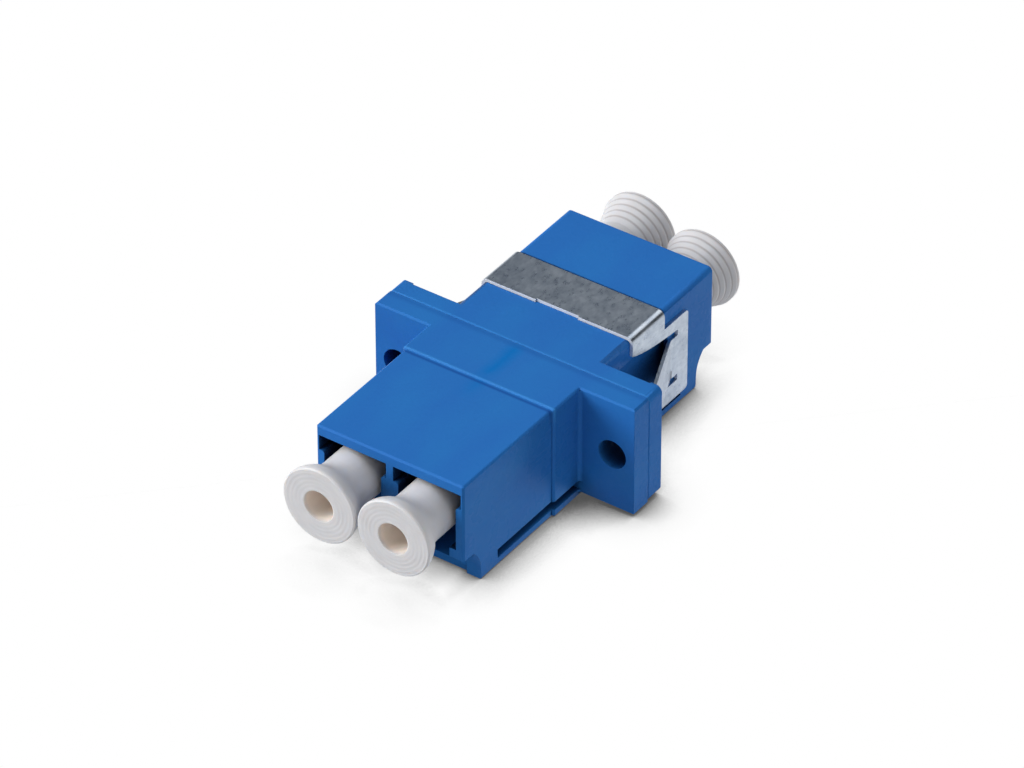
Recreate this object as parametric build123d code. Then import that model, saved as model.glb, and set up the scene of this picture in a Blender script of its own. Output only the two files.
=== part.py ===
from build123d import *
import math
import os

# Duplex fibre adapter with two LC ports at each end, a screw flange and a panel clip.
# Millimetres. The welded seam of the two housings is y = 0, the standing surface z = 0 and
# the mirror plane x = 0. The front mouth faces -Y and the rear mouth faces +Y.

# Ports, seen into the mouth
port_pitch = 6.25
port_axis_height = 6.1
port_width = 4.8
port_rise = 2.4
port_drop = 2.5
shoulder_rise = 1.15
shoulder_round = 0.22
relief_step = 0.43
relief_depth = 5.4

# Walls and lengths of the housings, each length counted from the seam
side_wall = 0.24
top_wall = 0.8
floor_thickness = 0.6
web_half = 1.2
front_length = 15.4
rear_length = 15.18
front_edge_round = 0.2
rear_edge_round = 0.38
bottom_edge_round = 0.17
mouth_chamfer = 0.14

# Lower part of each mouth, which stands back behind the upper part
setback_height = 2.85
setback_step = 1.1
setback_depth = 2.1
setback_lean = 0.1
setback_drop = 1.7
setback_hollow = 0.2
floor_inset = 0.2

# Latch channel under each port and the long slot through the side wall beside it
latch_slot_width = 3.7
catch_slot_width = 2.75
catch_length = 1.9
side_slot_height = 0.75

# Collar and flange
collar_length = 3.1
collar_rise = 0.1
collar_overhang = 0.21
flange_front = 1.8
flange_rear = 1.56
flange_foot = 0.24
flange_edge = 1.85
flange_chamfer = 0.13
flange_end_round = 0.8
flange_root_round = 0.3
seam_chamfer = 0.08
hole_spacing = 18.3
hole_diameter = 2.3

# Seat of the clip in the rear housing and the end of the housing behind it
seat_drop = 0.06
rear_rise = 0.08
strap_front_gap = 0.13
strap_rear_gap = 0.28

# Folded clip over the rear housing
clip_sheet = 0.25
clip_bend = 0.3
strap_setback = 3.13
strap_width = 3.98
strap_notch_width = 3.6
strap_notch_depth = 0.13
leg_drop = 1.34
rail_slope = 0.42
rail_end_slope = 0.1
plate_reach = 2.98
plate_top_drop = 1.4
plate_foot = 1.15
plate_corner = 0.3
arm_height = 1.45
arm_setback = 0.4
tab_height = 3.4
tab_slot = 0.5
tab_root = 0.75
tab_root_slot = 0.95
tab_slit_height = 0.7
tab_slit_width = 0.16
tab_panel_gap = 2.3
tab_angle = 23
recess_depth = 0.42
recess_margin = 0.8
recess_top_drop = 1.75

# Split alignment sleeve and the barrel that holds it
sleeve_diameter = 1.62
sleeve_bore = 1.25
sleeve_length = 6.8
sleeve_slit = 0.3
sleeve_play = 0.065
sleeve_end_play = 0.1
barrel_diameter = 2.9
barrel_lip = 0.8
barrel_lip_play = 0.15
barrel_chamfer = 0.2

# Dust caps
rim_gap = 0.2
rim_thickness = 0.3
rim_chamfer = 0.1
flare_length = 2.5
flare_shoulder = 1.1
neck_clearance = 0.35
front_cap_stand = 4.0
front_cap_overlap = 1.3
rear_cap_stand = 4.82
rear_cap_overlap = 0.7
deep_cap_shift = 1.2
cap_barrel_clearance = 0.05
cap_hole_diameter = 2.5
cap_hole_depth = 5.0
cap_tail_bore_depth = 8.0
ring_count = 5
ring_swell = 0.07
ring_crest = 0.3

# How far a cutting solid runs past the face that it opens
overcut = 1.0

# Levels and places that follow from the sizes above
port_offset = port_pitch / 2
port_roof = port_axis_height + port_rise
port_ledge = port_axis_height - port_drop
port_shoulder = port_axis_height + shoulder_rise
relief_width = port_width + 2 * relief_step
body_half_width = port_offset + relief_width / 2 + side_wall
front_top = port_roof + top_wall
collar_top = front_top + collar_rise
collar_half_width = body_half_width + collar_overhang
flange_half_width = hole_spacing / 2 + flange_edge
hole_height = (flange_foot + collar_top) / 2
seat_top = collar_top - seat_drop
rear_top = collar_top + rear_rise
strap_top = seat_top + clip_sheet
strap_front = flange_rear + strap_setback
strap_rear = strap_front + strap_width
seat_front = strap_front - strap_front_gap
seat_rear = strap_rear + strap_rear_gap
clip_outside = body_half_width + clip_sheet
leg_foot = collar_top - leg_drop
arch_foot = collar_top - leg_drop / 2
plate_top = collar_top - plate_top_drop
plate_rear = strap_rear + plate_reach
arm_front = strap_front + arm_setback
arm_top = plate_foot + arm_height
tab_bottom = arm_top + tab_slot
tab_top = tab_bottom + tab_height
rail_foot = tab_top + tab_slot
tab_hinge = strap_rear + tab_root
slot_end = tab_hinge + tab_root_slot
tab_tip = flange_rear + tab_panel_gap
pocket_radius = sleeve_diameter / 2 + sleeve_play
pocket_end = sleeve_length / 2 + sleeve_end_play
barrel_tip = pocket_end + barrel_lip
rim_radius = (port_pitch - rim_gap) / 2
neck_radius = port_width / 2 - neck_clearance


def block(x_span, y_span, z_span):
    """A box that fills three pairs of limits."""
    spans = (x_span, y_span, z_span)
    centre = [(low + high) / 2 for low, high in spans]
    lengths = [high - low for low, high in spans]
    return Pos(*centre) * Box(*lengths)


def centred(width):
    """Limits of a width that is centred on zero."""
    return (-width / 2, width / 2)


def upright(half_width, z_span):
    """A rectangle in a section across Y, centred on x = 0."""
    height = z_span[1] - z_span[0]
    return Pos(0, sum(z_span) / 2) * Rectangle(2 * half_width, height)


def along_y(section, y_span):
    """A section drawn in x and z, extruded between two places along Y."""
    return extrude(Plane.XZ.offset(-y_span[1]) * section, y_span[1] - y_span[0])


def bar(half_width, y_span, z_span, top_round, bottom_round):
    """A bar along Y whose section has rounded top and bottom corners."""
    section = upright(half_width, z_span)
    section = fillet(section.vertices().group_by(Axis.Y)[-1], top_round)
    section = fillet(section.vertices().group_by(Axis.Y)[0], bottom_round)
    return along_y(section, y_span)


def rod(radius, y_span, x, z):
    """A round rod along Y."""
    length = y_span[1] - y_span[0]
    middle = (y_span[0] + y_span[1]) / 2
    return Pos(x, middle, z) * Rot(90, 0, 0) * Cylinder(radius, length)


def mouth_section():
    """The plug's opening with the wider relief above its two rounded shoulders."""
    section = upright(port_width / 2, (port_ledge, port_roof))
    section += upright(relief_width / 2, (port_shoulder, port_roof))
    level = section.vertices().group_by(Axis.Y)[1]
    return fillet(level.sort_by(lambda corner: abs(corner.X))[:2], shoulder_round)


def port_air(length, flange):
    """The air of one port, on x = 0, from the web to past its mouth at y = length."""
    mouth = length + overcut
    catch_front = length - setback_depth
    catch_end = catch_front - catch_length
    open_front = catch_front - floor_inset
    air = block(centred(port_width), (web_half, length), (port_ledge, port_roof))
    air += along_y(mouth_section(), (length - relief_depth, mouth))
    air += block(centred(latch_slot_width), (catch_front, mouth), (floor_thickness, port_ledge))
    air += block(centred(latch_slot_width), (open_front, mouth), (-overcut, floor_thickness))
    air += block(centred(catch_slot_width), (catch_end, mouth), (floor_thickness, port_ledge))
    air += block(centred(port_width), (flange, catch_end), (floor_thickness, port_ledge))
    return air


def lower_setback(length):
    """The air in front of the lower mouth: a flat, a hollow curve and a wall."""
    step = (length - setback_step, setback_height)
    curve_end = (length - setback_depth + setback_lean, setback_height - setback_drop)
    foot = (length - setback_depth, -overcut)
    outer_foot = (length + overcut, -overcut)
    outer_step = (length + overcut, setback_height)
    outline = SagittaArc(step, curve_end, -setback_hollow)
    outline += Polyline(curve_end, foot, outer_foot, outer_step, step)
    reach = collar_half_width + overcut
    return extrude(Plane.YZ * make_face(outline), reach, both=True)


def side_slot(length, flange):
    """The long slots through both side walls beside the latch channels."""
    y_span = (flange, length - setback_depth - catch_length)
    z_span = (floor_thickness, floor_thickness + side_slot_height)
    inner = port_offset + port_width / 2 - side_wall
    outer = collar_half_width + overcut
    return [block((inner, outer), y_span, z_span), block((-outer, -inner), y_span, z_span)]


def barrel(x):
    """One barrel standing on the web around the sleeve."""
    tube = rod(barrel_diameter / 2, (0, barrel_tip), x, port_axis_height)
    return chamfer(tube.edges().group_by(Axis.Y)[-1], barrel_chamfer)


def barrel_air(x):
    """The sleeve's pocket and the narrower hole in the barrel's end lip."""
    lip_radius = (sleeve_bore + barrel_lip_play) / 2
    pocket = rod(pocket_radius, (-overcut, pocket_end), x, port_axis_height)
    return pocket + rod(lip_radius, (0, barrel_tip + overcut), x, port_axis_height)


def flange_half(thickness, end_round):
    """One half of the flange, with rounded ends on the side away from the seam."""
    plate = block(centred(2 * flange_half_width), (0, thickness), (flange_foot, collar_top))
    if end_round > 0:
        plate = fillet(plate.edges().filter_by(Axis.Z).group_by(Axis.Y)[-1], end_round)
    outline = plate.faces().filter_by(Axis.Z).edges()
    plate = chamfer([edge for edge in outline if edge.center().Y > seam_chamfer], flange_chamfer)
    return chamfer(plate.faces().sort_by(Axis.Y)[0].edges(), seam_chamfer)


def seam_groove():
    """What is cut from the top edge of both housings along their welded seam."""
    side = seam_chamfer * math.sqrt(2)
    length = 2 * flange_half_width + overcut
    return Pos(0, 0, collar_top) * Rot(45, 0, 0) * Box(length, side, side)


def housing(outer, length, flange):
    """Cuts the ports and screw holes into an outer form and stands the barrels in it."""
    shell = outer - lower_setback(length) - seam_groove()
    air = port_air(length, flange)
    for x in (-port_offset, port_offset):
        shell -= Pos(x, 0, 0) * air
    for slot in side_slot(length, flange):
        shell -= slot
    for x in (-port_offset, port_offset):
        shell += barrel(x)
    for x in (-port_offset, port_offset):
        shell -= barrel_air(x)
    for x in (-hole_spacing / 2, hole_spacing / 2):
        shell -= rod(hole_diameter / 2, (-overcut, flange + overcut), x, hole_height)
    return shell


def root_coves(half_width, flange, top_round):
    """Hollow fillets that fill the inner corners between a body's sides and the flange."""
    z_span = (flange_foot + bottom_edge_round, collar_top - top_round)
    centre = (half_width + flange_root_round, flange + flange_root_round)
    corner = block((body_half_width, centre[0]), (flange - seam_chamfer, centre[1]), z_span)
    height = z_span[1] - z_span[0]
    corner -= Pos(*centre, sum(z_span) / 2) * Cylinder(flange_root_round, height + overcut)
    return corner + mirror(corner, about=Plane.YZ)


def break_mouth(body):
    """Chamfers the outer edges of the end face."""
    return chamfer(body.faces().sort_by(Axis.Y)[-1].edges(), mouth_chamfer)


def front_housing():
    """The front moulding, built towards +Y and then mirrored."""
    collar_end = flange_front + collar_length
    rounds = (front_edge_round, bottom_edge_round)
    body = break_mouth(bar(body_half_width, (0, front_length), (0, front_top), *rounds))
    collar = break_mouth(bar(collar_half_width, (0, collar_end), (0, collar_top), *rounds))
    outer = flange_half(flange_front, 0) + collar + body
    outer += root_coves(collar_half_width, flange_front, front_edge_round)
    return mirror(housing(outer, front_length, flange_front), about=Plane.XZ)


def side_recess():
    """The shallow recesses that give the clip's tabs room to be pressed in."""
    inner = body_half_width - recess_depth
    outer = body_half_width + overcut
    y_span = (flange_rear, tab_hinge)
    z_span = (tab_bottom - recess_margin, collar_top - recess_top_drop)
    return [block((inner, outer), y_span, z_span), block((-outer, -inner), y_span, z_span)]


def rear_housing():
    """The rear moulding, whose clip seat lies between its middle and a taller end."""
    rounds = (rear_edge_round, bottom_edge_round)
    outer = flange_half(flange_rear, flange_end_round)
    outer += bar(body_half_width, (0, seat_front), (0, collar_top), *rounds)
    outer += bar(body_half_width, (0, seat_rear), (0, seat_top), *rounds)
    outer += break_mouth(bar(body_half_width, (seat_rear, rear_length), (0, rear_top), *rounds))
    outer += root_coves(body_half_width, flange_rear, rear_edge_round)
    for recess in side_recess():
        outer -= recess
    return housing(outer, rear_length, flange_rear)


def clip_arch():
    """The strap over the top with its two bends and the upper half of its legs."""
    outline = upright(clip_outside, (arch_foot, strap_top))
    outline = fillet(outline.vertices().group_by(Axis.Y)[-1], clip_bend + clip_sheet)
    hollow = upright(body_half_width, (arch_foot, seat_top))
    hollow = fillet(hollow.vertices().group_by(Axis.Y)[-1], clip_bend)
    arch = along_y(outline - hollow, (strap_front, strap_rear))
    notch_y = (strap_front - overcut, strap_front + strap_notch_depth)
    return arch - block(centred(strap_notch_width), notch_y, (arch_foot, strap_top + overcut))


def side_plate():
    """One flat side of the clip at +X, open around its tab under a falling curved rail."""
    leg_corner = (strap_front, leg_foot)
    rail_end = (slot_end, rail_foot)
    slopes = ((1, -rail_slope), (1, -rail_end_slope))
    outline = Spline(leg_corner, rail_end, tangents=slopes)
    outline += Polyline(
        rail_end,
        (slot_end, arm_top),
        (arm_front, arm_top),
        (arm_front, plate_foot),
        (plate_rear, plate_foot),
        (plate_rear, plate_top),
        (strap_rear, plate_top),
        (strap_rear, arch_foot),
        (strap_front, arch_foot),
        leg_corner,
    )
    face = make_face(outline)
    face = fillet(face.vertices().group_by(Axis.X)[-1], plate_corner)
    return extrude(Plane.YZ.offset(body_half_width) * face, clip_sheet)


def tab():
    """The spring tab at +X, flat at its root and bent outwards and forwards."""
    angle = math.radians(tab_angle)
    run = (tab_hinge - tab_tip) * math.tan(angle)
    thick = clip_sheet / math.cos(angle)
    mitre = clip_sheet * math.tan(angle / 2)
    root = slot_end + clip_sheet
    outline = Polyline(
        (body_half_width, root),
        (body_half_width, tab_hinge),
        (body_half_width + run, tab_tip),
        (body_half_width + run + thick, tab_tip),
        (clip_outside, tab_hinge + mitre),
        (clip_outside, root),
        close=True,
    )
    sheet = extrude(Pos(0, 0, tab_bottom) * make_face(outline), tab_height)
    upright_edges = sheet.edges().filter_by(Axis.Z)
    bends = upright_edges.sort_by(lambda edge: abs(edge.center().Y - tab_hinge))[:2]
    sheet = fillet(bends, clip_bend + clip_sheet)
    slit_x = (body_half_width - overcut, clip_outside + overcut)
    slit_y = (tab_hinge + mitre, tab_hinge + mitre + tab_slit_width)
    return sheet - block(slit_x, slit_y, (arm_top, tab_bottom + tab_slit_height))


def panel_clip():
    """The folded clip: arch, side plates and tabs in one sheet."""
    half = side_plate() + tab()
    return clip_arch() + half + mirror(half, about=Plane.YZ)


def sleeve(x):
    """A split ceramic sleeve with its slit upwards."""
    ends = centred(sleeve_length)
    tube = rod(sleeve_diameter / 2, ends, x, port_axis_height)
    tube -= rod(sleeve_bore / 2, ends, x, port_axis_height)
    slit_x = (x - sleeve_slit / 2, x + sleeve_slit / 2)
    return tube - block(slit_x, ends, (port_axis_height, port_axis_height + sleeve_diameter))


def smooth_flare(rim, neck):
    """The S-shaped back of a plain cap: two arcs that meet in one tangent."""
    middle = (rim[0] + flare_shoulder, (rim[1] + neck[1]) / 2)
    neck_arc = TangentArc(neck, middle, tangent=(-1, 0))
    return neck_arc + TangentArc(middle, rim, tangent=neck_arc % 1)


def ringed_flare(rim, neck):
    """The back of a ringed cap: a row of rings down a cone, steeper on the rim's side."""
    cone = Line(rim, neck)
    swell = (cone % 0).rotate(Axis.Z, 90) * ring_swell
    points = [cone @ 0]
    for index in range(ring_count):
        points.append(cone @ ((index + ring_crest) / ring_count) + swell)
        points.append(cone @ ((index + 1) / ring_count))
    return Polyline(*points)


def dust_cap(x, rim_plane, length, flare):
    """A trumpet shaped cap around its port axis, with its rim plane at y = rim_plane."""
    hole = cap_hole_diameter / 2
    tail_bore = barrel_diameter / 2 + cap_barrel_clearance
    rim = (rim_thickness, rim_radius)
    neck = (rim_thickness + flare_length, neck_radius)
    face = Polyline((cap_hole_depth, 0), (cap_hole_depth, hole), (0, hole), (0, rim_radius), rim)
    tail = Polyline(
        neck,
        (length, neck_radius),
        (length, tail_bore),
        (length - cap_tail_bore_depth, tail_bore),
        (length - cap_tail_bore_depth, 0),
        (cap_hole_depth, 0),
    )
    profile = make_face(face + flare(rim, neck) + tail)
    rim_corner = profile.vertices().sort_by_distance((0, rim_radius))[0]
    cap = revolve(chamfer(rim_corner, rim_chamfer), Axis.X)
    return Pos(x, rim_plane, port_axis_height) * Rot(0, 0, -90) * cap


def front_cap(x):
    """A plain cap in the front port at x."""
    rim_plane = front_length + front_cap_stand
    length = rim_plane - barrel_tip + front_cap_overlap
    return mirror(dust_cap(x, rim_plane, length, smooth_flare), about=Plane.XZ)


def rear_cap(x, shift):
    """A ringed cap in the rear port at x, pushed in by shift."""
    rim_plane = rear_length + rear_cap_stand
    length = rim_plane - barrel_tip + rear_cap_overlap
    return dust_cap(x, rim_plane - shift, length, ringed_flare)


nodes = {
    "front_housing": front_housing(),
    "rear_housing": rear_housing(),
    "panel_clip": panel_clip(),
    "sleeve_left": sleeve(-port_offset),
    "sleeve_right": sleeve(port_offset),
    "cap_front_left": front_cap(-port_offset),
    "cap_front_right": front_cap(port_offset),
    "cap_rear_left": rear_cap(-port_offset, 0),
    "cap_rear_right": rear_cap(port_offset, deep_cap_shift),
}

os.makedirs("parts", exist_ok=True)
for name, solid in nodes.items():
    export_step(solid, os.path.join("parts", name + ".step"))
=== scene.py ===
import math

import bmesh
import bpy
from mathutils import Matrix, Vector


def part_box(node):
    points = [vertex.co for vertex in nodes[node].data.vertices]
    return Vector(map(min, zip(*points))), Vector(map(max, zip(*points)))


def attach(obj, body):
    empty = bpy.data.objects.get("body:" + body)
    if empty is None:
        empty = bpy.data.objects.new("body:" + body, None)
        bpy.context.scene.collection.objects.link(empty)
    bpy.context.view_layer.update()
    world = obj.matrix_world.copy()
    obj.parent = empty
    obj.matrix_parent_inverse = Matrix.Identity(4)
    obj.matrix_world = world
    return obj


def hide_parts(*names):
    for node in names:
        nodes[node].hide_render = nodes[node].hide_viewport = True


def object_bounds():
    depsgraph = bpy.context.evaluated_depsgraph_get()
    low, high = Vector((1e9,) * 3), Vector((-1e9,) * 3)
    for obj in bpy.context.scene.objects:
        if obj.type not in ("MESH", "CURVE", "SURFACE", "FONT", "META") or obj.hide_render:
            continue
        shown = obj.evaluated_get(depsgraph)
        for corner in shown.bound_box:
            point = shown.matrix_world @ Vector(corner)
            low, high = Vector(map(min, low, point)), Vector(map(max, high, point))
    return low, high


# Looks of a duplex fibre adapter: satin blue mouldings, a plated spring clip and soft white
# dust caps. Metres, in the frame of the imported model: +Y along the ports, +Z up.

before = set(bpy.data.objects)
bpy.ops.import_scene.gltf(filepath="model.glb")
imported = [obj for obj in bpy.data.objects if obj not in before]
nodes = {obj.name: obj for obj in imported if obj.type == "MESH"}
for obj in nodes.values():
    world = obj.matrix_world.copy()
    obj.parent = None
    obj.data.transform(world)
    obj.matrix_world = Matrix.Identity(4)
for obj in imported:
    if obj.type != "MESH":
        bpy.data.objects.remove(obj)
cad_low, cad_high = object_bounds()
MM = 0.001

# Nodes of the model, by material
SLEEVES = ("sleeve_left", "sleeve_right")
CAPS = ("cap_front_left", "cap_front_right", "cap_rear_left", "cap_rear_right")

# Camera, from a fit to the photograph
AZIMUTH = math.radians(34.97)
ELEVATION = math.radians(37.25)
ROLL = math.radians(-0.10)
DISTANCE = 0.5
AIM = Vector((0.0, -1.4, 5.0)) * MM
SHIFT_RIGHT = 0.35 * MM
SHIFT_UP = 1.37 * MM
SENSOR = 36.0
FOCAL_LENGTH = 251.85
NEAREST = 0.01
FURTHEST = 100.0

# Colours, linear
BLUE = (0.026, 0.164, 0.515, 1.0)
BLUE_FLOW = (0.027, 0.186, 0.535, 1.0)
BLUE_WELD = (0.006, 0.166, 0.520, 1.0)
# Painted shade, laid into the housing's recesses
BLUE_RECESS_SHADE = (0.003, 0.008, 0.026, 1.0)
# Painted shade and painted highlight, for the lines across the top
BLUE_SHADE_LINE = (0.010, 0.070, 0.300, 1.0)
BLUE_HIGHLIGHT_LINE = (0.045, 0.250, 0.640, 1.0)
STEEL = (0.56, 0.61, 0.67, 1.0)
STEEL_DARK = (0.32, 0.37, 0.44, 1.0)
# Near white for the sheared edges facing the front: partly bare cut steel, partly a painted
# highlight
STEEL_CUT_AND_HIGHLIGHT = (0.95, 0.95, 0.95, 1.0)
CAP_WHITE = (0.71, 0.70, 0.71, 1.0)
CAP_CLOUD = (0.68, 0.67, 0.68, 1.0)
# Tan for the blind hole, painted brighter than the cap's white as light through the thin wall
CAP_TAN_PAINTED_LIGHT = (0.96, 0.86, 0.78, 1.0)
# Painted shade for the grooves of the rear caps' flares
CAP_GROOVE_SHADE = (0.42, 0.37, 0.37, 1.0)
CERAMIC = (0.85, 0.84, 0.80, 1.0)
CERAMIC_CLOUD = (0.80, 0.79, 0.76, 1.0)

# In the values below, a stretch is a factor on each axis and a turn about Z, and a noise is its
# features a metre, its detail and its roughness. Where a value crosses from the first number of
# a pair to the second, something goes from 0 to 1, or from the third number of four to the fourth.

# Housing plastic: flow marks, scuffs on some patches, a fine skin and its gloss
FLOW_STRETCH = ((1.0, 0.45, 1.0), 0.3)
FLOW_NOISE = (240.0, 3.0, 0.5)
FLOW_RANGE = (0.42, 0.72)
SCUFF_STRETCH = ((1.0, 0.06, 1.0), 0.5)
SCUFF_NOISE = (3200.0, 2.0, 0.5)
SCUFF_RANGE = (0.60, 0.72)
SCUFF_ROUGHNESS = 0.08
SCUFF_DEPTH = 0.4
PATCH_NOISE = (300.0, 2.0, 0.5)
PATCH_RANGE = (0.50, 0.62)
SKIN_NOISE = (9000.0, 3.0, 0.6)
HOUSING_GLOSS_NOISE = (900.0, 2.0, 0.5)
HOUSING_ROUGHNESS = (0.3, 0.7, 0.24, 0.32)
HOUSING_SPECULAR = 0.035
HOUSING_BUMP = 0.003 * MM
HOUSING_EDGE = 0.05 * MM

# Painted shade in narrow recesses of the housing: how far round a place is looked at, and how open
# it is where the painted shade gives way to the plastic's own colour
RECESS_SHADE_REACH = 3.6 * MM
RECESS_SHADE_RANGE = (0.17, 0.58)
OPENNESS_SAMPLES = 8

# Painted lines across the top, each with its place along Y, half width, strength and colour: a dark
# one of painted shade and a light one of painted highlight beside it, at the collar's step and at
# the seam
TOP_SHADE_AND_HIGHLIGHT_LINES = (
    (-5.08 * MM, 0.20 * MM, 0.80, BLUE_SHADE_LINE),
    (-4.76 * MM, 0.14 * MM, 0.85, BLUE_HIGHLIGHT_LINE),
    (-0.30 * MM, 0.40 * MM, 0.30, BLUE_SHADE_LINE),
    (0.06 * MM, 0.14 * MM, 0.60, BLUE_HIGHLIGHT_LINE),
)

# Flow mark along the middle of the front half's top: its place across, half width, the range
# along Y in which each end fades, and its ragged edge
WELD_X = 0.2 * MM
WELD_HALF_WIDTH = 0.9 * MM
WELD_FRONT = (-7.5 * MM, -3.75 * MM)
WELD_BACK = (0.2 * MM, -0.8 * MM)
RAGGED_NOISE = (500.0, 3.0, 0.5)
RAGGED_RANGE = (0.35, 0.55, 0.35, 1.0)

# Heights between which the painted lines and the flow mark come in, so that only the top has them
TOP_HEIGHTS = (7.9 * MM, 9.0 * MM)

# Clip sheet: crystals and clouds in its plating, and its sheared edges, which face the front and are
# painted near white, partly as bare cut steel and partly as a painted highlight
CUT_HIGHLIGHT_FACING = (-0.6, -0.8)
CUT_HIGHLIGHT_METALLIC = (0.0, 1.0, 1.0, 0.15)
CRYSTAL_STRETCH = ((1.0, 0.55, 1.0), 0.6)
CRYSTAL_NOISE = (3400.0, 2.0, 0.5)
CRYSTAL_SHARE = 0.4
CLOUD_NOISE = (700.0, 4.0, 0.6)
CLOUD_SHARE = 0.6
MOTTLE_RANGE = (0.33, 0.66)
CLIP_ROUGHNESS = (0.3, 0.7, 0.26, 0.36)
CLIP_BUMP = 0.001 * MM
CLIP_EDGE = 0.04 * MM

# Cap plastic: light goes a little way into it
CAP_NOISE = (700.0, 2.0, 0.5)
CAP_CLOUD_RANGE = (0.3, 0.7)
CAP_ROUGHNESS = 0.40
CAP_SPECULAR = 0.35
CAP_SUBSURFACE = 0.6
CAP_SUBSURFACE_RADIUS = (1.0, 0.85, 0.72)
CAP_SUBSURFACE_SCALE = 0.6 * MM
CAP_EDGE = 0.02 * MM

# Blind hole in each cap's face: the radius and the depth at which its tan begins. The tan is painted
# brighter than the cap's white, as painted light for what shines through the thin wall.
HOLE_RADIUS = 1.25 * MM
HOLE_RANGE = (HOLE_RADIUS + 0.02 * MM, HOLE_RADIUS)
TAN_LIGHT_DEPTHS = (0.02 * MM, 0.40 * MM)

# Turned rings on each cap's face: their step, and how far behind the face they reach
RING_STEP = 0.32 * MM
RING_DEPTHS = (0.10 * MM, 0.05 * MM)
RING_BUMP = 0.006 * MM

# Shade in the grooves of each rear cap's flare, by their distance from the face: the first one,
# their step, where the shade comes in and goes out, the radius it keeps to, and its strength
GROOVE_FIRST = 0.30 * MM
GROOVE_STEP = 0.50 * MM
GROOVES_BEGIN = (0.15 * MM, 0.20 * MM)
GROOVES_END = (2.50 * MM, 2.45 * MM)
GROOVE_RADII = (HOLE_RADIUS + 0.05 * MM, HOLE_RADIUS + 0.20 * MM)
GROOVE_WAVE = (0.45, 1.0, 0.0, 0.62)

# Sleeve ceramic
SLEEVE_NOISE = (2000.0, 2.0, 0.5)
SLEEVE_RANGE = (0.3, 0.7)
SLEEVE_ROUGHNESS = 0.2

# Samples for the edges that the shading eases
EDGE_SAMPLES = 4

# Rear half of the flange: square ends in plan, with corners that are round in the front view.
# FLANGE_END_ROUND is the upright round that they fill. CORNER_ROUNDS is by side, -1 the left.
FLANGE_HALF_WIDTH = 11.0 * MM
FLANGE_BACK = 1.56 * MM
FLANGE_FOOT = 0.24 * MM
FLANGE_TOP = 9.4 * MM
FLANGE_END_ROUND = 0.8 * MM
CORNER_ROUNDS = {-1: 0.3 * MM, 1: 0.5 * MM}
CORNER_STEPS = 12

# The filled ends start this far behind the seam, cuts run this far past the surface, and the
# ends stay this far inside the faces beside them
SEAM_MARGIN = 0.12 * MM
OVERCUT = 0.2 * MM
SKIN_GAP = 0.002 * MM

# Points closer than this are one, and an edge bent by more than this is sharp. The weight, of
# 100 at most, is how far large faces outweigh small ones in the shading.
MERGE_DISTANCE = 0.0002 * MM
SHARP_ANGLE = math.radians(25.0)
NORMAL_WEIGHT = 100

# Floor: half its width, how bright it is for the light that it throws back and in gloss, and
# its contact shadow
FLOOR_HALF_WIDTH = 3.0
FLOOR_BRIGHTNESS = (0.0, 1.0, 0.55, 1.25)
FLOOR_SHADOW_REACH = 4.2 * MM
FLOOR_SHADOW = (0.42, 0.90, 0.08, 1.0)

# Surroundings by height: pale up to the first of the heights, and dim from the second one up
WORLD_HEIGHTS = (0.07, 0.16)
WORLD_DIM = 0.24
WORLD_PALE = (1.0, 1.0, 1.0, 1.0)
WORLD_SKY = (0.92, 0.99, 1.08, 1.0)

# Darkest part of the surroundings, by how closely a direction agrees with its middle
WORLD_DARK_SIDE = Vector((0.70, 0.65, 0.28))
WORLD_DARK_RANGE = (0.80, 0.93, 1.0, 0.15)

# Lamps, each with its direction from the centre, its width and height, and its radiance
CENTRE = Vector((0.0, 0.0, 5.0)) * MM
LAMP_DISTANCE = 0.6
KEY = (Vector((-0.68, -0.52, 0.46)), (0.36, 0.36), 7.6)
OVERHEAD = (Vector((0.05, -0.05, 1.0)), (0.36, 0.36), 2.6)
FILL = (Vector((0.87, -0.10, 0.45)), (0.40, 0.40), 0.20)
REAR = (Vector((0.10, 0.65, 0.75)), (0.45, 0.20), 1.6)
TABLE = (Vector((0.46, 0.70, -0.50)), (0.16, 0.16), 12.0)
FLOOR_LIGHT = (Vector((0.25, -0.45, 0.85)), (0.35, 0.35), 7.0)


def new_tree(owner, output_kind):
    """The empty node tree of a material or a world, with its output."""
    owner.use_nodes = True
    tree = owner.node_tree
    tree.nodes.clear()
    return tree, tree.nodes.new(output_kind)


def new_material(name):
    """A node material with a Principled shader joined to its output."""
    material = bpy.data.materials.new(name)
    tree, output = new_tree(material, "ShaderNodeOutputMaterial")
    shader = tree.nodes.new("ShaderNodeBsdfPrincipled")
    tree.links.new(shader.outputs["BSDF"], output.inputs["Surface"])
    return material, tree, shader


def object_position(tree):
    """The place on the object, in metres."""
    return tree.nodes.new("ShaderNodeTexCoord").outputs["Object"]


def coordinates(tree, vector):
    """The three parts of a vector."""
    node = tree.nodes.new("ShaderNodeSeparateXYZ")
    tree.links.new(vector, node.inputs["Vector"])
    return node.outputs["X"], node.outputs["Y"], node.outputs["Z"]


def stretched(tree, place, scale, turn):
    """A place scaled by a factor on each axis, then turned about Z."""
    node = tree.nodes.new("ShaderNodeMapping")
    node.inputs["Rotation"].default_value = (0.0, 0.0, turn)
    node.inputs["Scale"].default_value = scale
    tree.links.new(place, node.inputs["Vector"])
    return node.outputs["Vector"]


def noise(tree, place, scale, detail, rough):
    """A noise texture at a scale in features a metre."""
    node = tree.nodes.new("ShaderNodeTexNoise")
    node.inputs["Scale"].default_value = scale
    node.inputs["Detail"].default_value = detail
    node.inputs["Roughness"].default_value = rough
    tree.links.new(place, node.inputs["Vector"])
    return node.outputs["Fac"]


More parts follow.
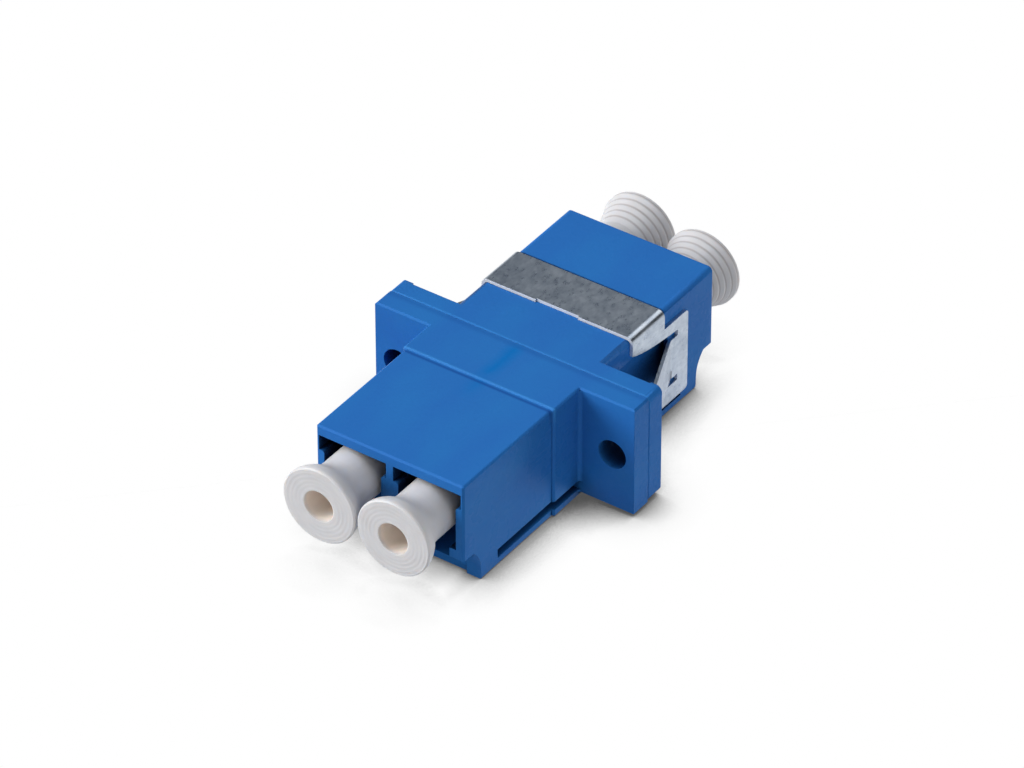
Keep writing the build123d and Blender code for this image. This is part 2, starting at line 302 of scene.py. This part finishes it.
def spread(tree, value, low, high, to_low=0.0, to_high=1.0):
    """Maps a value from one range to another, held at its ends."""
    node = tree.nodes.new("ShaderNodeMapRange")
    node.inputs["From Min"].default_value = low
    node.inputs["From Max"].default_value = high
    node.inputs["To Min"].default_value = to_low
    node.inputs["To Max"].default_value = to_high
    tree.links.new(value, node.inputs["Value"])
    return node.outputs["Result"]


def blend_colour(tree, factor, low, high):
    """A colour between two, by a factor."""
    node = tree.nodes.new("ShaderNodeMix")
    node.data_type = "RGBA"
    tree.links.new(factor, node.inputs["Factor"])
    colours = [socket for socket in node.inputs if socket.type == "RGBA"]
    for socket, value in zip(colours, (low, high)):
        if isinstance(value, tuple):
            socket.default_value = value
        else:
            tree.links.new(value, socket)
    return [socket for socket in node.outputs if socket.type == "RGBA"][0]


def calculate(tree, operation, first, second=0.0):
    """One step of arithmetic on two values or sockets."""
    node = tree.nodes.new("ShaderNodeMath")
    node.operation = operation
    for socket, value in zip(node.inputs, (first, second)):
        if isinstance(value, (int, float)):
            socket.default_value = value
        else:
            tree.links.new(value, socket)
    return node.outputs["Value"]


def product(tree, first, *others):
    """Values or sockets, all multiplied."""
    result = first
    for value in others:
        result = calculate(tree, "MULTIPLY", result, value)
    return result


def away_from(tree, value, centre):
    """How far a value is from a centre."""
    return calculate(tree, "ABSOLUTE", calculate(tree, "SUBTRACT", value, centre))


def openness(tree, reach):
    """How open a place is, from 0 deep in a recess to 1."""
    node = tree.nodes.new("ShaderNodeAmbientOcclusion")
    node.samples = OPENNESS_SAMPLES
    node.inputs["Distance"].default_value = reach
    return node.outputs["AO"]


def add_bump(tree, shader, height, distance, edge):
    """Bumps the shader by a height, with its edges eased over a small radius."""
    node = tree.nodes.new("ShaderNodeBump")
    node.inputs["Distance"].default_value = distance
    tree.links.new(height, node.inputs["Height"])
    ease = tree.nodes.new("ShaderNodeBevel")
    ease.samples = EDGE_SAMPLES
    ease.inputs["Radius"].default_value = edge
    tree.links.new(ease.outputs["Normal"], node.inputs["Normal"])
    tree.links.new(node.outputs["Normal"], shader.inputs["Normal"])


def housing_colour(tree, place):
    """Blue with faint flow marks, painted shade in recesses, and across the top a flow mark and
    painted lines of shade and highlight.
    """
    x, y, z = coordinates(tree, place)
    on_top = spread(tree, z, *TOP_HEIGHTS)
    flow = spread(tree, noise(tree, stretched(tree, place, *FLOW_STRETCH), *FLOW_NOISE), *FLOW_RANGE)
    colour = blend_colour(tree, flow, BLUE, BLUE_FLOW)
    across = spread(tree, away_from(tree, x, WELD_X), WELD_HALF_WIDTH, 0.0)
    along = product(tree, spread(tree, y, *WELD_FRONT), spread(tree, y, *WELD_BACK))
    ragged = spread(tree, noise(tree, place, *RAGGED_NOISE), *RAGGED_RANGE)
    colour = blend_colour(tree, product(tree, across, along, ragged, on_top), colour, BLUE_WELD)
    # Painted lines of shade and highlight at the collar's step and at the seam
    for centre, half_width, strength, paint in TOP_SHADE_AND_HIGHLIGHT_LINES:
        line = spread(tree, away_from(tree, y, centre), half_width, 0.0, 0.0, strength)
        colour = blend_colour(tree, product(tree, line, on_top), colour, paint)
    # Painted shade in recesses: the less open a place is, the darker its blue
    lit = spread(tree, openness(tree, RECESS_SHADE_REACH), *RECESS_SHADE_RANGE)
    return blend_colour(tree, lit, BLUE_RECESS_SHADE, colour)


def housing_material():
    """Moulded blue plastic: faint flow marks, painted shade in recesses, painted lines of shade and
    highlight across the top, a fine skin and small scuffs.
    """
    material, tree, shader = new_material("housing_blue")
    place = object_position(tree)
    tree.links.new(housing_colour(tree, place), shader.inputs["Base Color"])
    scuff = noise(tree, stretched(tree, place, *SCUFF_STRETCH), *SCUFF_NOISE)
    patch = spread(tree, noise(tree, place, *PATCH_NOISE), *PATCH_RANGE)
    scuffed = product(tree, spread(tree, scuff, *SCUFF_RANGE), patch)
    plain = spread(tree, noise(tree, place, *HOUSING_GLOSS_NOISE), *HOUSING_ROUGHNESS)
    rough = calculate(tree, "ADD", plain, product(tree, scuffed, SCUFF_ROUGHNESS))
    tree.links.new(rough, shader.inputs["Roughness"])
    shader.inputs["Specular IOR Level"].default_value = HOUSING_SPECULAR
    skin = noise(tree, place, *SKIN_NOISE)
    height = calculate(tree, "SUBTRACT", skin, product(tree, scuffed, SCUFF_DEPTH))
    add_bump(tree, shader, height, HOUSING_BUMP, HOUSING_EDGE)
    return material


def clip_material():
    """Plated spring steel with the mottled crystals of its coating, and sheared edges facing the
    front painted near white: partly bare cut steel, partly a painted highlight.
    """
    material, tree, shader = new_material("clip_steel")
    place = object_position(tree)
    normal = tree.nodes.new("ShaderNodeNewGeometry").outputs["True Normal"]
    # Faces that look to the front, mostly sheared edges, get a painted highlight besides the cut
    # steel's look
    cut_and_highlight = spread(tree, coordinates(tree, normal)[1], *CUT_HIGHLIGHT_FACING)
    tree.links.new(spread(tree, cut_and_highlight, *CUT_HIGHLIGHT_METALLIC), shader.inputs["Metallic"])
    grain = noise(tree, stretched(tree, place, *CRYSTAL_STRETCH), *CRYSTAL_NOISE)
    cloud = noise(tree, place, *CLOUD_NOISE)
    mottle = calculate(
        tree, "ADD", product(tree, grain, CRYSTAL_SHARE), product(tree, cloud, CLOUD_SHARE)
    )
    skin = blend_colour(tree, spread(tree, mottle, *MOTTLE_RANGE), STEEL_DARK, STEEL)
    tree.links.new(blend_colour(tree, cut_and_highlight, skin, STEEL_CUT_AND_HIGHLIGHT), shader.inputs["Base Color"])
    tree.links.new(spread(tree, grain, *CLIP_ROUGHNESS), shader.inputs["Roughness"])
    add_bump(tree, shader, cloud, CLIP_BUMP, CLIP_EDGE)
    return material


def groove_shade(tree, depth, radius):
    """How dark the grooves of a rear cap's flare are, at a distance from its face."""
    turns = calculate(tree, "DIVIDE", calculate(tree, "SUBTRACT", depth, GROOVE_FIRST), GROOVE_STEP)
    wave = calculate(tree, "COSINE", product(tree, turns, 2 * math.pi))
    return product(
        tree,
        spread(tree, wave, *GROOVE_WAVE),
        spread(tree, depth, *GROOVES_BEGIN),
        spread(tree, depth, *GROOVES_END),
        spread(tree, radius, *GROOVE_RADII),
    )


def cap_material(name, centre_x, face_y, ringed):
    """Soft white plastic, tan with painted light inside the blind hole, faint turned rings on the
    face, and painted shade in the grooves of a rear cap.
    """
    material, tree, shader = new_material(name)
    place = object_position(tree)
    x, y, z = coordinates(tree, place)
    across = calculate(tree, "SUBTRACT", x, centre_x)
    up = calculate(tree, "SUBTRACT", z, PORT_HEIGHT)
    square = calculate(tree, "ADD", product(tree, across, across), product(tree, up, up))
    radius = calculate(tree, "SQRT", square)
    depth = away_from(tree, y, face_y)
    cloud = spread(tree, noise(tree, place, *CAP_NOISE), *CAP_CLOUD_RANGE)
    # Painted light: the hole's tan is brighter than the white around it
    tan_painted_light = product(tree, spread(tree, radius, *HOLE_RANGE), spread(tree, depth, *TAN_LIGHT_DEPTHS))
    colour = blend_colour(tree, tan_painted_light, blend_colour(tree, cloud, CAP_WHITE, CAP_CLOUD), CAP_TAN_PAINTED_LIGHT)
    # Painted shade in the grooves of a rear cap's flare
    if ringed:
        colour = blend_colour(tree, groove_shade(tree, depth, radius), colour, CAP_GROOVE_SHADE)
    tree.links.new(colour, shader.inputs["Base Color"])
    shader.inputs["Roughness"].default_value = CAP_ROUGHNESS
    shader.inputs["Specular IOR Level"].default_value = CAP_SPECULAR
    shader.inputs["Subsurface Weight"].default_value = CAP_SUBSURFACE
    shader.inputs["Subsurface Radius"].default_value = CAP_SUBSURFACE_RADIUS
    shader.inputs["Subsurface Scale"].default_value = CAP_SUBSURFACE_SCALE
    rings = calculate(tree, "SINE", product(tree, radius, 2 * math.pi / RING_STEP))
    height = product(tree, rings, spread(tree, depth, *RING_DEPTHS))
    add_bump(tree, shader, height, RING_BUMP, CAP_EDGE)
    return material


def sleeve_material():
    """Polished ceramic."""
    material, tree, shader = new_material("sleeve_ceramic")
    cloud = spread(tree, noise(tree, object_position(tree), *SLEEVE_NOISE), *SLEEVE_RANGE)
    tree.links.new(blend_colour(tree, cloud, CERAMIC, CERAMIC_CLOUD), shader.inputs["Base Color"])
    shader.inputs["Roughness"].default_value = SLEEVE_ROUGHNESS
    return material


def dress(piece, material):
    """Gives a piece its material."""
    slots = piece.data.materials
    slots.clear()
    slots.append(material)


def place_in_scene(name, data):
    """A new object in the scene."""
    piece = bpy.data.objects.new(name, data)
    bpy.context.scene.collection.objects.link(piece)
    return piece


def prism(outline, front, back):
    """A closed solid with an outline in X and Z, between two places along Y."""
    shape = bmesh.new()
    rings = [[shape.verts.new((x, y, z)) for x, z in outline] for y in (front, back)]
    shape.faces.new(rings[0])
    shape.faces.new(rings[1])
    for index in range(len(outline)):
        after = (index + 1) % len(outline)
        shape.faces.new((rings[0][index], rings[0][after], rings[1][after], rings[1][index]))
    bmesh.ops.recalc_face_normals(shape, faces=shape.faces)
    mesh = bpy.data.meshes.new("tool")
    shape.to_mesh(mesh)
    shape.free()
    return place_in_scene("tool", mesh)


def corner_arc(side, level):
    """Points of the round at one corner of the flange, from its end to its top or foot edge."""
    size = CORNER_ROUNDS[side]
    centre_x = FLANGE_HALF_WIDTH - size
    edge_z = FLANGE_TOP if level > 0 else FLANGE_FOOT
    points = []
    for step in range(CORNER_STEPS + 1):
        angle = math.pi / 2 * step / CORNER_STEPS
        x = centre_x + size * math.cos(angle)
        z = edge_z - level * size * (1 - math.sin(angle))
        points.append((side * x, z))
    return points


def combine(piece, tool, operation):
    """Joins a tool to a piece, or cuts it away."""
    step = piece.modifiers.new("combine", "BOOLEAN")
    step.operation = operation
    step.solver = "EXACT"
    step.object = tool
    shown = piece.evaluated_get(bpy.context.evaluated_depsgraph_get())
    mesh = bpy.data.meshes.new_from_object(shown)
    piece.modifiers.clear()
    piece.data = mesh
    bpy.data.objects.remove(tool)


def make_rear_shell():
    """The rear housing again, with the flange's ends square in plan and round in the front view."""
    mesh = nodes["rear_housing"].data.copy()
    shape = bmesh.new()
    shape.from_mesh(mesh)
    bmesh.ops.remove_doubles(shape, verts=shape.verts, dist=MERGE_DISTANCE)
    shape.to_mesh(mesh)
    shape.free()
    shell = place_in_scene("rear_shell", mesh)
    inner = FLANGE_HALF_WIDTH - FLANGE_END_ROUND - SEAM_MARGIN
    for side in (-1, 1):
        post = [(side * inner, FLANGE_FOOT + SKIN_GAP)]
        post += reversed(corner_arc(side, -1))
        post += corner_arc(side, 1)
        post += [(side * inner, FLANGE_TOP - SKIN_GAP)]
        combine(shell, prism(post, SEAM_MARGIN, FLANGE_BACK - SKIN_GAP), "UNION")
        outer = side * (FLANGE_HALF_WIDTH + OVERCUT)
        for level, edge in ((-1, FLANGE_FOOT - OVERCUT), (1, FLANGE_TOP + OVERCUT)):
            arc = corner_arc(side, level)
            corner = [(outer, arc[0][1])] + arc + [(arc[-1][0], edge), (outer, edge)]
            combine(shell, prism(corner, -OVERCUT, FLANGE_BACK + OVERCUT), "DIFFERENCE")
    for face in shell.data.polygons:
        face.use_smooth = True
    shell.data.set_sharp_from_angle(angle=SHARP_ANGLE)
    weighted = shell.modifiers.new("normals", "WEIGHTED_NORMAL")
    weighted.keep_sharp = True
    weighted.weight = NORMAL_WEIGHT
    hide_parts("rear_housing")
    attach(shell, "adapter")
    return shell


def make_camera():
    """The camera at the photograph's viewing angle."""
    back = Vector((
        math.sin(AZIMUTH) * math.cos(ELEVATION),
        -math.cos(AZIMUTH) * math.cos(ELEVATION),
        math.sin(ELEVATION),
    ))
    level = Vector((math.cos(AZIMUTH), math.sin(AZIMUTH), 0.0))
    right = level * math.cos(ROLL) + back.cross(level) * math.sin(ROLL)
    up = back.cross(right)
    camera = bpy.data.cameras.new("camera")
    camera.sensor_width = SENSOR
    camera.lens = FOCAL_LENGTH
    camera.clip_start = NEAREST
    camera.clip_end = FURTHEST
    piece = place_in_scene("camera", camera)
    place = AIM + right * SHIFT_RIGHT + up * SHIFT_UP + back * DISTANCE
    turn = Matrix((right, up, back)).transposed().to_4x4()
    piece.matrix_world = Matrix.Translation(place) @ turn
    bpy.context.scene.camera = piece


def floor_material():
    """White to the camera, with a contact shadow, and pale for the light that it throws back."""
    material = bpy.data.materials.new("floor")
    tree, output = new_tree(material, "ShaderNodeOutputMaterial")
    path = tree.nodes.new("ShaderNodeLightPath").outputs
    clear = calculate(tree, "MAXIMUM", path["Is Glossy Ray"], path["Is Transmission Ray"])
    matt = tree.nodes.new("ShaderNodeBsdfDiffuse")
    tree.links.new(spread(tree, clear, *FLOOR_BRIGHTNESS), matt.inputs["Color"])
    white = tree.nodes.new("ShaderNodeEmission")
    shadow = spread(tree, openness(tree, FLOOR_SHADOW_REACH), *FLOOR_SHADOW)
    tree.links.new(shadow, white.inputs["Strength"])
    mix = tree.nodes.new("ShaderNodeMixShader")
    tree.links.new(path["Is Camera Ray"], mix.inputs["Fac"])
    tree.links.new(matt.outputs["BSDF"], mix.inputs[1])
    tree.links.new(white.outputs["Emission"], mix.inputs[2])
    tree.links.new(mix.outputs["Shader"], output.inputs["Surface"])
    return material


def make_floor():
    """The floor that the adapter stands on."""
    half = FLOOR_HALF_WIDTH
    mesh = bpy.data.meshes.new("floor")
    corners = [(-half, -half, 0), (half, -half, 0), (half, half, 0), (-half, half, 0)]
    mesh.from_pydata(corners, [], [(0, 1, 2, 3)])
    floor = place_in_scene("floor", mesh)
    floor.location.z = cad_low[2]
    dress(floor, floor_material())
    return floor


def make_world():
    """Studio surroundings: pale at the horizon, dim above it and darkest behind to the right."""
    world = bpy.data.worlds.new("studio")
    bpy.context.scene.world = world
    tree, output = new_tree(world, "ShaderNodeOutputWorld")
    background = tree.nodes.new("ShaderNodeBackground")
    direction = tree.nodes.new("ShaderNodeTexCoord").outputs["Generated"]
    height = coordinates(tree, direction)[2]
    sky = spread(tree, height, *WORLD_HEIGHTS, 1.0, WORLD_DIM)
    low = spread(tree, height, *WORLD_HEIGHTS, 1.0, 0.0)
    to_dark = tree.nodes.new("ShaderNodeVectorMath")
    to_dark.operation = "DOT_PRODUCT"
    to_dark.inputs[1].default_value = WORLD_DARK_SIDE.normalized()
    tree.links.new(direction, to_dark.inputs[0])
    shade = spread(tree, to_dark.outputs["Value"], *WORLD_DARK_RANGE)
    level = product(tree, sky, calculate(tree, "MAXIMUM", shade, low))
    tree.links.new(blend_colour(tree, low, WORLD_SKY, WORLD_PALE), background.inputs["Color"])
    tree.links.new(level, background.inputs["Strength"])
    tree.links.new(background.outputs["Background"], output.inputs["Surface"])


def soft_box(name, setting, lit, through_floor=False):
    """A rectangular lamp that lights some objects alone, and may pass the floor to reach them."""
    direction, size, level = setting
    lamp = bpy.data.lights.new(name, "AREA")
    lamp.shape = "RECTANGLE"
    lamp.size, lamp.size_y = size
    lamp.energy = level * math.pi * size[0] * size[1]
    box = place_in_scene(name, lamp)
    box.location = CENTRE + direction.normalized() * LAMP_DISTANCE
    box.rotation_euler = (-direction).to_track_quat("-Z", "Y").to_euler()
    group = bpy.data.collections.new(name + "_lights")
    for item in lit:
        group.objects.link(item)
    box.light_linking.receiver_collection = group
    if through_floor:
        box.light_linking.blocker_collection = group
        box.visible_glossy = False


def make_lamps(floor, pieces):
    """Key, fill, a box behind the clip, and what a bright table throws up; the floor has its own."""
    clip = nodes["panel_clip"]
    others = [piece for piece in pieces if piece is not clip]
    soft_box("key", KEY, pieces)
    soft_box("overhead", OVERHEAD, pieces)
    soft_box("fill", FILL, pieces)
    soft_box("rear", REAR, [clip])
    soft_box("table", TABLE, others, through_floor=True)
    soft_box("floor_light", FLOOR_LIGHT, [floor])


cap_low, cap_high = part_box(CAPS[0])
PORT_HEIGHT = (cap_low[2] + cap_high[2]) / 2

rear_shell = make_rear_shell()
make_camera()
make_lamps(make_floor(), list(nodes.values()) + [rear_shell])
make_world()

blue = housing_material()
for piece in (nodes["front_housing"], nodes["rear_housing"], rear_shell):
    dress(piece, blue)
dress(nodes["panel_clip"], clip_material())
ceramic = sleeve_material()
for node in SLEEVES:
    dress(nodes[node], ceramic)
for node in CAPS:
    low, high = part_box(node)
    face_y = low[1] if low[1] < 0 else high[1]
    dress(nodes[node], cap_material(node, (low[0] + high[0]) / 2, face_y, "rear" in node))

bpy.context.scene.view_settings.view_transform = "Standard"
